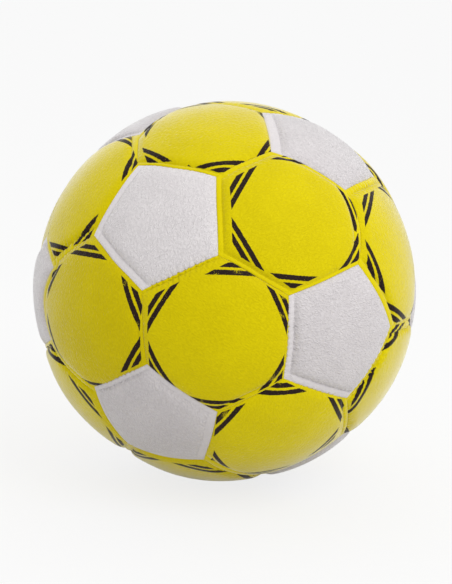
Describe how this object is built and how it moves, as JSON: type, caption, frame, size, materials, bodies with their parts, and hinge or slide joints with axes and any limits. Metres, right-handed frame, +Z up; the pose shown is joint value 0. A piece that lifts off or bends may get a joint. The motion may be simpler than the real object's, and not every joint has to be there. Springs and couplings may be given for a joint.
{
  "type": "handball",
  "caption": "Hand-sewn sports ball of hexagon and pentagon panels over a valved rubber bladder, with black ring stripes on the hexagons.",
  "frame": {"origin": "centre of the ball", "axes": "+Z up, with each of X, Y and Z through the middle of a seam between two hexagons; the picture sees the ball from -Y, turned 23 degrees towards +X and 13 degrees above"},
  "size_m": [0.186, 0.186, 0.186],
  "materials": {
    "yellow_cover": "satin",
    "white_cover": "satin",
    "lining_cloth": "matte",
    "waxed_thread": "satin",
    "bladder_rubber": "matte",
    "valve_rubber": "satin",
    "plug_rubber": "satin"
  },
  "bodies": {
    "root": {"hexagon_panel_01": "yellow_cover", "hexagon_panel_02": "yellow_cover", "hexagon_panel_03": "yellow_cover", "hexagon_panel_04": "yellow_cover", "hexagon_panel_05": "yellow_cover", "hexagon_panel_06": "yellow_cover", "hexagon_panel_07": "yellow_cover", "hexagon_panel_08": "yellow_cover", "hexagon_panel_09": "yellow_cover", "hexagon_panel_10": "yellow_cover", "hexagon_panel_11": "yellow_cover", "hexagon_panel_12": "yellow_cover", "hexagon_panel_13": "yellow_cover", "hexagon_panel_14": "yellow_cover", "hexagon_panel_15": "yellow_cover", "hexagon_panel_16": "yellow_cover", "hexagon_panel_17": "yellow_cover", "hexagon_panel_18": "yellow_cover", "hexagon_panel_19": "yellow_cover", "hexagon_panel_20": "yellow_cover", "pentagon_panel_01": "white_cover", "pentagon_panel_02": "white_cover", "pentagon_panel_03": "white_cover", "pentagon_panel_04": "white_cover", "pentagon_panel_05": "white_cover", "pentagon_panel_06": "white_cover", "pentagon_panel_07": "white_cover", "pentagon_panel_08": "white_cover", "pentagon_panel_09": "white_cover", "pentagon_panel_10": "white_cover", "pentagon_panel_11": "white_cover", "pentagon_panel_12": "white_cover", "hexagon_linings": "lining_cloth", "pentagon_linings": "lining_cloth", "pentagon_seam_threads": "waxed_thread", "hexagon_seam_threads": "waxed_thread", "bladder": "bladder_rubber", "valve_body": "valve_rubber", "valve_plug": "plug_rubber"}
  },
  "joints": []
}
